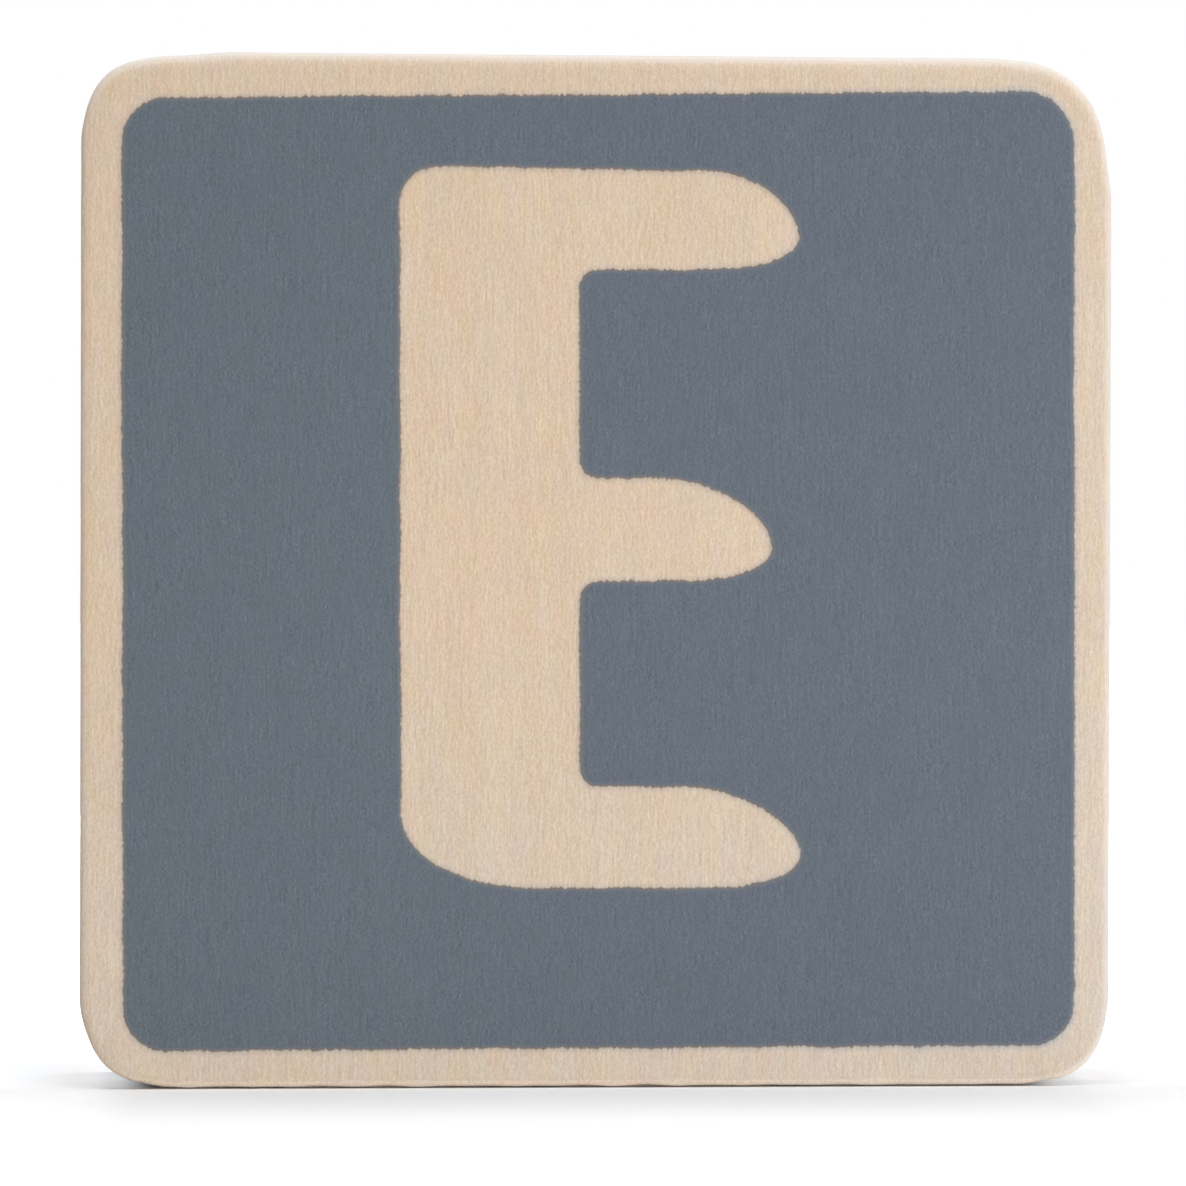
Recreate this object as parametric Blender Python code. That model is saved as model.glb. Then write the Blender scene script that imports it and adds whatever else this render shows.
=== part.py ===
"""Square wooden letter tile: a plywood blank with one printed face.

Metres, +Z up. The tile stands on its bottom edge with its printed face towards -Y. The origin lies
midway through its depth, under the middle of the bottom edge, on the surface that it stands on.
"""

import math
from typing import NamedTuple

import bmesh
import bpy

MM = 0.001


class Finish(NamedTuple):
    """A plain non-metallic finish: its colour is 8-bit sRGB."""

    name: str
    colour: tuple[int, int, int]
    roughness: float


class Arm(NamedTuple):
    """One arm of the letter: where its underside lies above the letter's base, and its sizes."""

    base: float
    depth: float
    length: float
    nose: float


# Plywood blank
TILE_WIDTH = 70.0 * MM
TILE_HEIGHT = 70.0 * MM
CORNER_RADIUS = 6.2 * MM
EDGE_EASE = 0.5 * MM  # radius sanded round the rim of both faces
FACE_VENEER = 1.0 * MM
INNER_PLY = 1.28 * MM
INNER_PLIES = 7
GLUE_LINE = 0.12 * MM  # distance between two neighbouring veneers
GLUE_SETBACK = 0.05 * MM  # how far cured glue stays behind the sanded edges
SEAT_GAP = 0.01 * MM  # clearance between layers that lie face to face

# Printed panel: a film of ink, laid on by hand and so a little out of true
INK_FILM = 0.1 * MM
PRINT_BORDER = 2.6 * MM  # bare wood between the print and the edge of the tile
PRINT_CORNER_RADIUS = 3.0 * MM
PRINT_TOP_RIGHT_RADIUS = 3.7 * MM  # the corner where the top edge rises is cut rounder
PRINT_SHIFT = 0.15 * MM  # to the right of the tile's middle
PRINT_TILT = math.radians(0.2)  # counter-clockwise, seen from the front
PRINT_TOP_SLOPE = math.radians(0.65)  # further rise of the top edge to the right

# Letter left open in the print: an upright stem with three arms that end in a blunt nose
STEM_WIDTH = 12.1 * MM
LOWER_BAY = 14.0 * MM  # height of the print between the bottom and the middle arm
UPPER_BAY = 14.2 * MM  # height of the print between the middle and the top arm
LETTER_RAISE = 3.0 * MM  # how far the letter's middle lies above the print's
ARMPIT_RADIUS = 1.3 * MM  # where an arm meets the stem
SHOULDER_RADIUS = 2.6 * MM  # top left corner of the stem
SHOULDER_RISE = 0.3 * MM  # how much higher the top edge lies there than at the top arm's nose
HEEL_WIDTH = 9.2 * MM  # sweep from the stem into the bottom arm
HEEL_HEIGHT = 5.0 * MM
NOSE_HEIGHT = 2.2 * MM  # from an arm's underside up to its tip
NOSE_UNDERSIDE = 5.4 * MM  # length of the curve from an arm's underside to its tip
NOSE_FULLNESS = 1.8  # exponent of the curve above the tip: 2 is an ellipse, less is more pointed
BOTTOM_ARM_LENGTH = 15.0 * MM  # arms are measured from the stem's right side to the tip
BOTTOM_ARM_DEPTH = 6.8 * MM
BOTTOM_ARM_NOSE = 8.3 * MM  # length of the curve from an arm's top edge to its tip
MIDDLE_ARM_LENGTH = 13.1 * MM
MIDDLE_ARM_DEPTH = 6.9 * MM
MIDDLE_ARM_NOSE = 7.7 * MM
TOP_ARM_LENGTH = 14.9 * MM
TOP_ARM_DEPTH = 6.6 * MM
TOP_ARM_NOSE = 6.0 * MM

# Facets of the round stretches
CORNER_SEGMENTS = 16
EASE_SEGMENTS = 5
CURVE_STEPS = 16
ARMPIT_STEPS = 5
SHARP_ANGLE = math.radians(30)
SAME_PLANE = 0.001 * MM  # points nearer than this to a plane lie in it

# Finishes
FACE_WOOD = Finish("face_veneer", (216, 195, 170), 0.6)
LONG_GRAIN_WOOD = Finish("long_grain_ply", (212, 189, 161), 0.7)
CROSS_GRAIN_WOOD = Finish("cross_grain_ply", (199, 173, 142), 0.75)
CURED_GLUE = Finish("cured_glue", (126, 92, 62), 0.45)
BLUE_GREY_INK = Finish("matt_ink", (104, 112, 122), 0.55)

# Sizes that follow from those above
BLANK_DEPTH = 2 * FACE_VENEER + INNER_PLIES * INNER_PLY + (INNER_PLIES + 1) * GLUE_LINE
TILE_DEPTH = INK_FILM + SEAT_GAP + BLANK_DEPTH
TILE_FRONT = -TILE_DEPTH / 2
PRINT_WIDTH = TILE_WIDTH - 2 * PRINT_BORDER
PRINT_HEIGHT = TILE_HEIGHT - 2 * PRINT_BORDER


def linear(colour):
    """The linear RGBA value of an 8-bit sRGB colour, by the upper branch of the sRGB curve."""
    shares = [channel / 255 for channel in colour]
    return [((share + 0.055) / 1.055) ** 2.4 for share in shares] + [1.0]


def material_of(finish):
    """The material of a finish, made when it is first asked for."""
    if finish.name in bpy.data.materials:
        return bpy.data.materials[finish.name]
    material = bpy.data.materials.new(finish.name)
    material.use_nodes = True
    shader = material.node_tree.nodes["Principled BSDF"]
    shader.inputs["Base Color"].default_value = linear(finish.colour)
    shader.inputs["Roughness"].default_value = finish.roughness
    shader.inputs["Metallic"].default_value = 0.0
    return material


def add_object(name, shape, parent, finish=None):
    """Turns a bmesh into a named object with smooth round stretches, and frees the bmesh."""
    mesh = bpy.data.meshes.new(name)
    shape.to_mesh(mesh)
    shape.free()
    mesh.shade_smooth()
    mesh.set_sharp_from_angle(angle=SHARP_ANGLE)
    if finish:
        mesh.materials.append(material_of(finish))
    made = bpy.data.objects.new(name, mesh)
    made.parent = parent
    bpy.context.scene.collection.objects.link(made)
    return made


def depth_edges(plate):
    """The edges of a plate that run from its front to its back."""
    return [edge for edge in plate.edges if edge.verts[0].co.xz == edge.verts[1].co.xz]


def round_edges(plate, edges, radius, segments):
    """Rounds edges of a plate."""
    bmesh.ops.bevel(plate, geom=edges, offset=radius, segments=segments, profile=0.5, affect="EDGES")


def rounded_plate(width, height, depth, radius, top_slope=0.0, top_right_radius=None):
    """An upright plate about its own middle, with its front at y = 0 and its four corners rounded.

    top_slope is the angle by which its top edge rises to the right. The top right corner has the
    radius of the others where it is given none of its own.
    """
    plate = bmesh.new()
    bmesh.ops.create_cube(plate, size=1.0)
    bmesh.ops.translate(plate, verts=plate.verts, vec=(0, 0.5, 0))
    bmesh.ops.scale(plate, verts=plate.verts, vec=(width, depth, height))
    for vertex in plate.verts:
        if vertex.co.z > 0:
            vertex.co.z += vertex.co.x * math.tan(top_slope)
    corners = sorted(depth_edges(plate), key=lambda edge: sum(edge.verts[0].co.xz))
    round_edges(plate, corners[:-1], radius, CORNER_SEGMENTS)
    top_right = max(depth_edges(plate), key=lambda edge: sum(edge.verts[0].co.xz))
    round_edges(plate, [top_right], top_right_radius or radius, CORNER_SEGMENTS)
    return plate


def ease_rim(plate, rim_y):
    """Rounds the edge all the way round the face of a plate that lies at y = rim_y."""
    rim = [
        edge
        for edge in plate.edges
        if all(math.isclose(vertex.co.y, rim_y, abs_tol=SAME_PLANE) for vertex in edge.verts)
    ]
    round_edges(plate, rim, EDGE_EASE, EASE_SEGMENTS)


def arc(centre_x, centre_z, x_radius, z_radius, start, end, steps, fullness=2.0):
    """Points of an arc from start to end degrees, both included: an ellipse where its fullness is 2."""

    def swell(share):
        return math.copysign(abs(share) ** (2.0 / fullness), share)

    angles = [math.radians(start + (end - start) * step / steps) for step in range(steps + 1)]
    return [
        (centre_x + x_radius * swell(math.cos(angle)), centre_z + z_radius * swell(math.sin(angle)))
        for angle in angles
    ]


def letter_outline():
    """Points of the letter about the print's middle, counter-clockwise from its heel."""
    middle_base = BOTTOM_ARM_DEPTH + LOWER_BAY
    top_base = middle_base + MIDDLE_ARM_DEPTH + UPPER_BAY
    arms = (
        Arm(0.0, BOTTOM_ARM_DEPTH, BOTTOM_ARM_LENGTH, BOTTOM_ARM_NOSE),
        Arm(middle_base, MIDDLE_ARM_DEPTH, MIDDLE_ARM_LENGTH, MIDDLE_ARM_NOSE),
        Arm(top_base, TOP_ARM_DEPTH, TOP_ARM_LENGTH, TOP_ARM_NOSE),
    )
    letter_height = top_base + TOP_ARM_DEPTH + SHOULDER_RISE
    letter_width = STEM_WIDTH + max(arm.length for arm in arms)
    left = -letter_width / 2
    stem_right = left + STEM_WIDTH
    base = LETTER_RAISE - letter_height / 2
    armpit_x = stem_right + ARMPIT_RADIUS

    def armpit(height, start, end):
        return arc(armpit_x, height, ARMPIT_RADIUS, ARMPIT_RADIUS, start, end, ARMPIT_STEPS)

    points = arc(left + HEEL_WIDTH, base + HEEL_HEIGHT, HEEL_WIDTH, HEEL_HEIGHT, 180, 270, CURVE_STEPS)
    for arm in arms:
        underside = base + arm.base
        top = underside + arm.depth
        tip_x = stem_right + arm.length
        tip_z = underside + NOSE_HEIGHT
        nose = min(arm.nose, arm.length - ARMPIT_RADIUS)
        if arm is not arms[0]:
            points += armpit(underside - ARMPIT_RADIUS, 180, 90)
        points += arc(tip_x - NOSE_UNDERSIDE, tip_z, NOSE_UNDERSIDE, NOSE_HEIGHT, 270, 360, CURVE_STEPS)
        points += arc(tip_x - nose, tip_z, nose, top - tip_z, 0, 90, CURVE_STEPS, NOSE_FULLNESS)[1:]
        if arm is not arms[-1]:
            points += armpit(top + ARMPIT_RADIUS, 270, 180)
    shoulder_x = left + SHOULDER_RADIUS
    shoulder_z = base + letter_height - SHOULDER_RADIUS
    points += arc(shoulder_x, shoulder_z, SHOULDER_RADIUS, SHOULDER_RADIUS, 90, 180, CURVE_STEPS)
    return points


def letter_prism(depth):
    """The letter as a prism that is centred on the print's front and reaches depth to both sides."""
    prism = bmesh.new()
    face = prism.faces.new([prism.verts.new((x, -depth, z)) for x, z in letter_outline()])
    swept = bmesh.ops.extrude_face_region(prism, geom=[face])["geom"]
    back = [item for item in swept if isinstance(item, bmesh.types.BMVert)]
    bmesh.ops.translate(prism, verts=back, vec=(0, 2 * depth, 0))
    bmesh.ops.recalc_face_normals(prism, faces=prism.faces)
    return prism


def add_blank(parent):
    """The plywood blank: veneers from front to back, with a glue line behind each but the last."""
    veneers = [("front_face_veneer", FACE_VENEER, FACE_WOOD)]
    for number in range(1, INNER_PLIES + 1):
        across = number % 2 == 1
        name = f"inner_ply_{number}_{'cross' if across else 'long'}_grain"
        veneers.append((name, INNER_PLY, CROSS_GRAIN_WOOD if across else LONG_GRAIN_WOOD))
    veneers.append(("back_face_veneer", FACE_VENEER, FACE_WOOD))

    middle = TILE_HEIGHT / 2
    y = TILE_FRONT + INK_FILM + SEAT_GAP
    for number, (name, depth, wood) in enumerate(veneers):
        plate = rounded_plate(TILE_WIDTH, TILE_HEIGHT, depth, CORNER_RADIUS)
        if number == 0:
            ease_rim(plate, 0.0)
        if number == len(veneers) - 1:
            ease_rim(plate, depth)
        add_object(name, plate, parent, wood).location = (0, y, middle)
        y += depth
        if number < len(veneers) - 1:
            film = rounded_plate(
                TILE_WIDTH - 2 * GLUE_SETBACK,
                TILE_HEIGHT - 2 * GLUE_SETBACK,
                GLUE_LINE - 2 * SEAT_GAP,
                CORNER_RADIUS - GLUE_SETBACK,
            )
            line = add_object(f"glue_line_{number + 1}", film, parent, CURED_GLUE)
            line.location = (0, y + SEAT_GAP, middle)
            y += GLUE_LINE


def add_print(parent):
    """The printed panel, with the letter cut out of it down to the bare veneer."""
    film = rounded_plate(
        PRINT_WIDTH, PRINT_HEIGHT, INK_FILM, PRINT_CORNER_RADIUS, PRINT_TOP_SLOPE, PRINT_TOP_RIGHT_RADIUS
    )
    panel = add_object("printed_panel", film, parent, BLUE_GREY_INK)
    panel.location = (PRINT_SHIFT, TILE_FRONT, TILE_HEIGHT / 2)
    panel.rotation_euler.y = -PRINT_TILT

    cutter = add_object("letter_cutter", letter_prism(2 * INK_FILM), panel)
    cutter.hide_render = True
    cutter.display_type = "WIRE"
    window = panel.modifiers.new("letter_window", "BOOLEAN")
    window.operation = "DIFFERENCE"
    window.solver = "EXACT"
    window.object = cutter


def main():
    """Clears the scene and builds the tile under one empty."""
    for old in list(bpy.data.objects):
        bpy.data.objects.remove(old)
    tile = bpy.data.objects.new("letter_tile", None)
    bpy.context.scene.collection.objects.link(tile)
    add_blank(tile)
    add_print(tile)


main()
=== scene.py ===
"""Looks of a square letter tile: a sanded plywood blank with one printed face, on a white studio floor.

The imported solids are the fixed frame. Finer plates with sanded, slightly uneven edges stand for the veneers
and the glue lines, and a film of ink with a ragged edge stands for the print. Lengths are metres, and small
sizes are written in millimetres times MM.
"""

import logging
import math
from dataclasses import dataclass
from enum import Enum
from typing import Any, ClassVar, Iterable

import bmesh
import bpy
from bmesh.types import BMEdge, BMesh, BMVert
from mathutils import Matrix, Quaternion, Vector, noise


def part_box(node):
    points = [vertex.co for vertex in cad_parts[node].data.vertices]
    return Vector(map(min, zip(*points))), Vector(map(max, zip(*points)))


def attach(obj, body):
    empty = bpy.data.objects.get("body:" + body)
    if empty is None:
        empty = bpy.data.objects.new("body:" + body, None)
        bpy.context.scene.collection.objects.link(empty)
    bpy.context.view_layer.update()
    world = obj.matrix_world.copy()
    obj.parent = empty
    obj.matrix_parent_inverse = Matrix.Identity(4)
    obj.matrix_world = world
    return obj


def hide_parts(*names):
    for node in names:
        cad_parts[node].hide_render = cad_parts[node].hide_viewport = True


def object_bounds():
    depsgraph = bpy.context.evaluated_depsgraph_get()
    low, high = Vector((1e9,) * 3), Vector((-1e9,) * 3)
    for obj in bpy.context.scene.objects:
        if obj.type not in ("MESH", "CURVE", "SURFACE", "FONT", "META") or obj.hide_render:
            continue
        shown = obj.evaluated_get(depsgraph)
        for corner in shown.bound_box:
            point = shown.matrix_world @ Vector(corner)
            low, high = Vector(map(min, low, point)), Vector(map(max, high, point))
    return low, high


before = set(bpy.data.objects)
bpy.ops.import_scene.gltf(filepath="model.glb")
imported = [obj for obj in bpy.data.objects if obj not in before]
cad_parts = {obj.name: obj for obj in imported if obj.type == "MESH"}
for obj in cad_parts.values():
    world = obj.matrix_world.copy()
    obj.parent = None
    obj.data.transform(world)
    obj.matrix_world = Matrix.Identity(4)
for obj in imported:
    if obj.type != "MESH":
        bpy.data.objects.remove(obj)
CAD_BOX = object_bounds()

log = logging.getLogger("letter_tile")

MM = 0.001
ROOT = "root"
MERGE = 0.001 * MM  # points nearer than this are one point
SHARP_ANGLE = math.radians(30)
SENSOR_WIDTH = 36.0  # millimetres, as Blender's camera has it
MIDDLE = 0.5  # of a ramp, a relief or a noise
CHANNEL_TOP = 255
SRGB_KNEE = 0.04045  # below it the sRGB curve is straight
SRGB_SLOPE = 12.92
SRGB_OFFSET = 0.055
SRGB_POWER = 2.4

Rgb = tuple[int, int, int]
Shades = tuple[Rgb, Rgb, Rgb]  # a colour, and its dark and light ends
Triple = tuple[float, float, float]
Ways = dict[BMVert, Vector]  # the points of outlines, and which way the film lies at each


def linear(colour: Rgb) -> tuple[float, float, float, float]:
    """Turns an 8-bit sRGB colour into linear RGBA.

    Args:
        colour: red, green and blue from 0 to 255.

    Returns:
        The linear colour with an alpha of 1.
    """
    values = []
    for channel in colour:
        share = channel / CHANNEL_TOP
        curved = ((share + SRGB_OFFSET) / (1 + SRGB_OFFSET)) ** SRGB_POWER
        values.append(share / SRGB_SLOPE if share <= SRGB_KNEE else curved)
    return (*values, 1.0)


class Grain(Enum):
    """The way that a veneer's fibres run: the axis that they follow."""

    UPRIGHT = 2
    SIDEWAYS = 0

    def cell(self, across: float, along: float) -> Triple:
        """Gives the size of a fleck along X, Y and Z.

        Args:
            across: its size square to the fibres.
            along: its length along the fibres.

        Returns:
            Its three sizes.
        """
        return tuple(along if axis == self.value else across for axis in range(3))

    def beside(self, distance: float) -> Triple:
        """A step across the fibres, in the plane of the face."""
        across = Grain.UPRIGHT.value - self.value
        return tuple(distance if axis == across else 0.0 for axis in range(3))


class Wire:
    """An output of a shader tree. Arithmetic on it adds Math nodes."""

    def __init__(self, tree: "ShaderTree", socket: bpy.types.NodeSocket) -> None:
        """Keeps the tree and the socket."""
        self.tree = tree
        self.socket = socket

    def math(self, operation: str, *values: "Wire | float") -> "Wire":
        """Adds a Math node.

        Args:
            operation: the node's operation.
            values: what its inputs hold, in order.

        Returns:
            The node's output.
        """
        return self.tree.add("ShaderNodeMath", {"operation": operation}, dict(enumerate(values)))

    def __add__(self, other: "Wire | float") -> "Wire":
        """This plus other."""
        return self.math("ADD", self, other)

    __radd__ = __add__

    def __sub__(self, other: "Wire | float") -> "Wire":
        """This minus other."""
        return self.math("SUBTRACT", self, other)

    def __rsub__(self, other: "Wire | float") -> "Wire":
        """Other minus this."""
        return self.math("SUBTRACT", other, self)

    def __mul__(self, other: "Wire | float") -> "Wire":
        """This times other."""
        return self.math("MULTIPLY", self, other)

    __rmul__ = __mul__

    def __abs__(self) -> "Wire":
        """This without its sign."""
        return self.math("ABSOLUTE", self)

    def step(self, low: float, high: float) -> "Wire":
        """Rises smoothly from 0 to 1.

        Args:
            low: where it is still 0.
            high: where it has reached 1; below low, it falls instead.

        Returns:
            The smooth step.
        """
        sockets = {"Value": self, "From Min": low, "From Max": high}
        return self.tree.add("ShaderNodeMapRange", {"interpolation_type": "SMOOTHSTEP"}, sockets)


@dataclass(frozen=True)
class Slope:
    """A smooth change: where it starts, where it ends, and how much it comes to."""

    start: float
    end: float
    share: float = 1.0

    def at(self, place: Wire) -> Wire:
        """The change at a place, from 0 to the share."""
        return place.step(self.start, self.end) * self.share


class ShaderTree:
    """A node tree that is emptied and then filled by calls."""

    def __init__(self, owner: "bpy.types.Material | bpy.types.World") -> None:
        """Empties the tree.

        Args:
            owner: the material or the world that has it.
        """
        owner.use_nodes = True
        self.nodes = owner.node_tree.nodes
        self.links = owner.node_tree.links
        self.nodes.clear()

    def add(
        self,
        kind: str,
        settings: dict[str, Any] | None = None,
        sockets: dict[str | int, Any] | None = None,
        output: str | int = 0,
    ) -> Wire | None:
        """Adds a node.

        Args:
            kind: the node's type.
            settings: its properties, which are set first; stops are a ramp's places and colours.
            sockets: what its inputs hold, by name or number: a value or a wire.
            output: the output that is wanted.

        Returns:
            That output, or none for a node without outputs.
        """
        node = self.nodes.new(kind)
        for name, value in (settings or {}).items():
            if name == "stops":
                self.set_stops(node.color_ramp, value)
            else:
                setattr(node, name, value)
        for name, value in (sockets or {}).items():
            if isinstance(value, Wire):
                self.links.new(value.socket, node.inputs[name])
            else:
                node.inputs[name].default_value = value
        return Wire(self, node.outputs[output]) if node.outputs else None

    @staticmethod
    def set_stops(ramp: bpy.types.ColorRamp, stops: Iterable[tuple[float, Rgb]]) -> None:
        """Gives a colour ramp its stops.

        Args:
            ramp: the ramp, whose first stops are moved before others are added.
            stops: places from 0 to 1 and their colours.
        """
        for number, (place, colour) in enumerate(stops):
            present = number < len(ramp.elements)
            stop = ramp.elements[number] if present else ramp.elements.new(place)
            stop.position = place
            stop.color = linear(colour)

    def noise(
        self,
        cell: Triple,
        seed: float,
        detail: float = 0.0,
        point: Wire | None = None,
        shift: Iterable[float] = (0.0, 0.0, 0.0),
    ) -> Wire:
        """Adds solid noise about 0.

        Args:
            cell: the size of its cells along X, Y and Z.
            seed: how many cells the pattern is shifted by.
            detail: its finer octaves.
            point: where it is read: Object coordinates, unless others are given.
            shift: a further shift along X, Y and Z, in cells.

        Returns:
            Noise from about -0.5 to 0.5.
        """
        point = point or self.add("ShaderNodeTexCoord", output="Object")
        scale = [1 / size for size in cell]
        sockets = {"Vector": point, "Location": [seed + part for part in shift], "Scale": scale}
        place = self.add("ShaderNodeMapping", {}, sockets)
        made = self.add("ShaderNodeTexNoise", {}, {"Vector": place, "Scale": 1.0, "Detail": detail})
        return made - MIDDLE

    def place(self, axis: int) -> Wire:
        """Where a point lies along an axis."""
        point = self.add("ShaderNodeTexCoord", output="Object")
        return self.add("ShaderNodeSeparateXYZ", {}, {0: point}, axis)

    def facing(self, axis: int) -> Wire:
        """How much the surface faces along an axis, from -1 to 1."""
        normal = self.add("ShaderNodeTexCoord", output="Normal")
        return self.add("ShaderNodeSeparateXYZ", {}, {0: normal}, axis)

    def ramp(self, factor: Wire, stops: Iterable[tuple[float, Rgb]]) -> Wire:
        """Adds a colour ramp.

        Args:
            factor: from 0 to 1.
            stops: places and colours.

        Returns:
            The colour.
        """
        return self.add("ShaderNodeValToRGB", {"stops": stops}, {"Fac": factor})

    def shades(self, tone: Wire, dark: Rgb, colour: Rgb, light: Rgb) -> Wire:
        """A colour that darkens as the tone falls below its middle and lightens above it."""
        return self.ramp(tone, ((0.0, dark), (MIDDLE, colour), (1.0, light)))

    def times(self, colour: Wire, factors: Iterable[float]) -> Wire:
        """A colour whose red, green and blue are multiplied."""
        return self.add("ShaderNodeVectorMath", {"operation": "MULTIPLY"}, {0: colour, 1: factors})

    def scale(self, colour: "Wire | Iterable[float]", factor: Wire) -> Wire:
        """A colour that is made lighter or darker as a whole."""
        return self.add("ShaderNodeVectorMath", {"operation": "SCALE"}, {0: colour, "Scale": factor})

    def seen(self) -> Wire:
        """Tells the rays that show a background from those that only light it.

        Returns:
            1 for a ray straight from the camera, by gloss or through glass, and 0 for the others.
        """
        kinds = ("Camera", "Glossy", "Transmission")
        camera, glossy, through = [self.add("ShaderNodeLightPath", output=f"Is {kind} Ray") for kind in kinds]
        return camera.math("MAXIMUM", camera, glossy.math("MAXIMUM", glossy, through))

    def mix(self, factor: "Wire | float", first: Any, second: Any, blend: str = "MIX") -> Wire:
        """Mixes two colours.

        Args:
            factor: how much of the second shows.
            first: a colour or a wire.
            second: a colour or a wire.
            blend: the way of mixing.

        Returns:
            The mixed colour.
        """
        settings = {"data_type": "RGBA", "blend_type": blend}
        return self.add("ShaderNodeMix", settings, {0: factor, 6: first, 7: second}, 2)

    def bump(self, height: Wire, distance: float, strength: float) -> Wire:
        """Adds a bump.

        Args:
            height: the relief, from 0 to 1.
            distance: how high a relief of 1 stands.
            strength: how much of it shows.

        Returns:
            The normal.
        """
        sockets = {"Height": height, "Distance": distance, "Strength": strength}
        return self.add("ShaderNodeBump", {}, sockets)

    def finish(self, sockets: dict[str, Any]) -> None:
        """Ends a material in a Principled shader.

        Args:
            sockets: what the shader's inputs hold.
        """
        shader = self.add("ShaderNodeBsdfPrincipled", {}, sockets)
        self.add("ShaderNodeOutputMaterial", {}, {"Surface": shader})


@dataclass(frozen=True)
class Fibres:
    """The fibres of rotary-cut veneer, which show in the bare wood and through the ink."""

    grain: Grain
    seed: float
    fuzz_width: float = 0.12 * MM
    fuzz_length: float = 0.18 * MM
    fuzz_seed: float = 52.9
    fleck_width: float = 0.115 * MM
    fleck_length: float = 0.6 * MM
    strand_width: float = 0.14 * MM
    strand_length: float = 2.4 * MM
    strand_seed: float = 31.7
    wander: float = 0.16 * MM
    wander_length: float = 1.3 * MM
    wander_seed: float = 64.2
    band_width: float = 2.5 * MM
    band_length: float = 18 * MM
    band_seed: float = 77.3
    band_detail: float = 2.0
    neighbour: float = 1.3  # how many cells away the neighbouring fibres lie
    contrast: float = 0.08

    def fuzz(self, tree: ShaderTree) -> Wire:
        """The fuzz of cut fibres, about 0."""
        cell = self.grain.cell(self.fuzz_width, self.fuzz_length)
        return self.crisp(tree, cell, self.seed + self.fuzz_seed)

    def flecks(self, tree: ShaderTree) -> Wire:
        """Short flecks, about 0."""
        cell = self.grain.cell(self.fleck_width, self.fleck_length)
        return self.crisp(tree, cell, self.seed, self.path(tree))

    def strands(self, tree: ShaderTree) -> Wire:
        """Long strands, about 0."""
        cell = self.grain.cell(self.strand_width, self.strand_length)
        return self.crisp(tree, cell, self.seed + self.strand_seed, self.path(tree))

    def bands(self, tree: ShaderTree) -> Wire:
        """Broad bands, about 0."""
        cell = self.grain.cell(self.band_width, self.band_length)
        return tree.noise(cell, self.seed + self.band_seed, self.band_detail)

    def crisp(self, tree: ShaderTree, cell: Triple, seed: float, point: Wire | None = None) -> Wire:
        """Adds noise that stands out from its neighbours across the fibres.

        Args:
            tree: the tree that it is added to.
            cell: the size of its cells along X, Y and Z.
            seed: how many cells the pattern is shifted by.
            point: where it is read, if not at the Object coordinates.

        Returns:
            The noise, about 0.
        """
        steps = [self.grain.beside(way * self.neighbour) for way in (-1, 1)]
        left, right = [tree.noise(cell, seed, point=point, shift=step) for step in steps]
        return tree.noise(cell, seed, point=point) - (left + right) * self.contrast

    def path(self, tree: ShaderTree) -> Wire:
        """Gives coordinates that sway to both sides along the fibres, as the fibres do.

        Args:
            tree: the tree that they are added to.

        Returns:
            The swayed Object coordinates.
        """
        point = tree.add("ShaderNodeTexCoord", output="Object")
        sway = tree.noise((self.wander_length,) * 3, self.seed + self.wander_seed) * self.wander
        across = {axis: sway for axis in range(3) if axis != self.grain.value}
        shift = tree.add("ShaderNodeCombineXYZ", {}, across)
        return tree.add("ShaderNodeVectorMath", {"operation": "ADD"}, {0: point, 1: shift})


@dataclass(frozen=True)
class Tint:
    """Two slight tints that give way to each other in patches along the fibres."""

    first: Rgb
    second: Rgb
    width: float
    length: float
    seed: float
    change: Slope = Slope(-0.2, 0.2)

    def drift(self, tree: ShaderTree, fibres: Fibres) -> Wire:
        """How the tints drift over the surface, about 0."""
        cell = fibres.grain.cell(self.width, self.length)
        return tree.noise(cell, fibres.seed + self.seed, detail=1.0)

    def lay(self, tree: ShaderTree, colour: Wire, drift: Wire) -> Wire:
        """Tints a colour.

        Args:
            tree: the tree that it is added to.
            colour: the colour.
            drift: below 0 where the first tint shows, and above 0 where the second does.

        Returns:
            The tinted colour.
        """
        tints = (self.first, self.second)
        first, second = [tree.mix(1.0, colour, linear(tint), "MULTIPLY") for tint in tints]
        return tree.mix(self.change.at(drift), first, second)


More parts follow.
